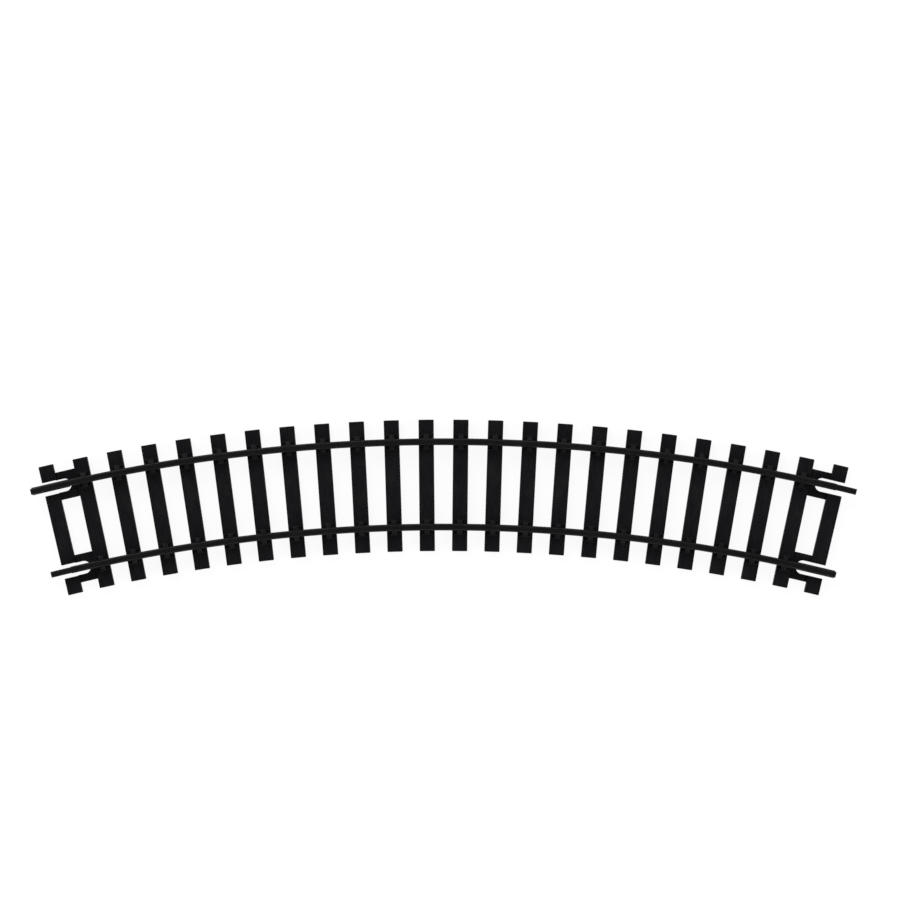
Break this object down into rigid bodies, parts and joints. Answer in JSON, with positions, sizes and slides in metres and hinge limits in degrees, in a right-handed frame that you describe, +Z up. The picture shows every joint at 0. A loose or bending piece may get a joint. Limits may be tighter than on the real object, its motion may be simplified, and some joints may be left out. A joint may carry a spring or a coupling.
{
  "type": "curved model railway track section",
  "caption": "Curved section of model railway track: bent rails in moulded chairs on black sleepers, slotted end sleepers, and a sliding fishplate at each end.",
  "frame": {"origin": "middle of the footprint, on the surface that the sleepers stand on", "axes": "+Z up from the baseboard, +Y away from the centre of the curve, towards the outer rail, +X along the track to the right end. The centre of the curve is on the Y axis, 342.69 mm towards -Y, and the middle of the track's centreline is 4.81 mm towards +Y."},
  "size_m": [0.1714, 0.0366, 0.0046],
  "materials": {
    "sleeper_plastic": "dull moulded near-black plastic with a fine wood grain",
    "rail_metal": "blackened drawn rail, satin, rubbed a little smoother on top",
    "fishplate_metal": "blackened folded sheet"
  },
  "bodies": {
    "track": {"sleeper_01": "sleeper_plastic", "sleeper_02": "sleeper_plastic", "sleeper_03": "sleeper_plastic", "sleeper_04": "sleeper_plastic", "sleeper_05": "sleeper_plastic", "sleeper_06": "sleeper_plastic", "sleeper_07": "sleeper_plastic", "sleeper_08": "sleeper_plastic", "sleeper_09": "sleeper_plastic", "sleeper_10": "sleeper_plastic", "sleeper_11": "sleeper_plastic", "sleeper_12": "sleeper_plastic", "sleeper_13": "sleeper_plastic", "sleeper_14": "sleeper_plastic", "sleeper_15": "sleeper_plastic", "sleeper_16": "sleeper_plastic", "sleeper_17": "sleeper_plastic", "sleeper_18": "sleeper_plastic", "sleeper_19": "sleeper_plastic", "sleeper_20": "sleeper_plastic", "sleeper_21": "sleeper_plastic", "sleeper_22": "sleeper_plastic", "end_sleeper_left": "sleeper_plastic", "end_sleeper_right": "sleeper_plastic", "outer_rail_webs": "sleeper_plastic", "inner_rail_webs": "sleeper_plastic", "outer_rail_1": "rail_metal", "outer_rail_2": "rail_metal", "outer_rail_3": "rail_metal", "outer_rail_4": "rail_metal", "outer_rail_5": "rail_metal", "outer_rail_6": "rail_metal", "outer_rail_7": "rail_metal", "inner_rail_1": "rail_metal", "inner_rail_2": "rail_metal", "inner_rail_3": "rail_metal", "inner_rail_4": "rail_metal", "inner_rail_5": "rail_metal", "inner_rail_6": "rail_metal", "inner_rail_7": "rail_metal"},
    "left_fishplate": {"fishplate_left": "fishplate_metal"},
    "right_fishplate": {"fishplate_right": "fishplate_metal"}
  },
  "joints": [
    {"name": "left_fishplate_slide", "type": "slide", "parent": "track", "child": "left_fishplate", "axis": [-0.9735, -0.2286, 0], "range_m": [0, 0.004]},
    {"name": "right_fishplate_slide", "type": "slide", "parent": "track", "child": "right_fishplate", "axis": [0.9737, -0.228, 0], "range_m": [0, 0.004]}
  ]
}
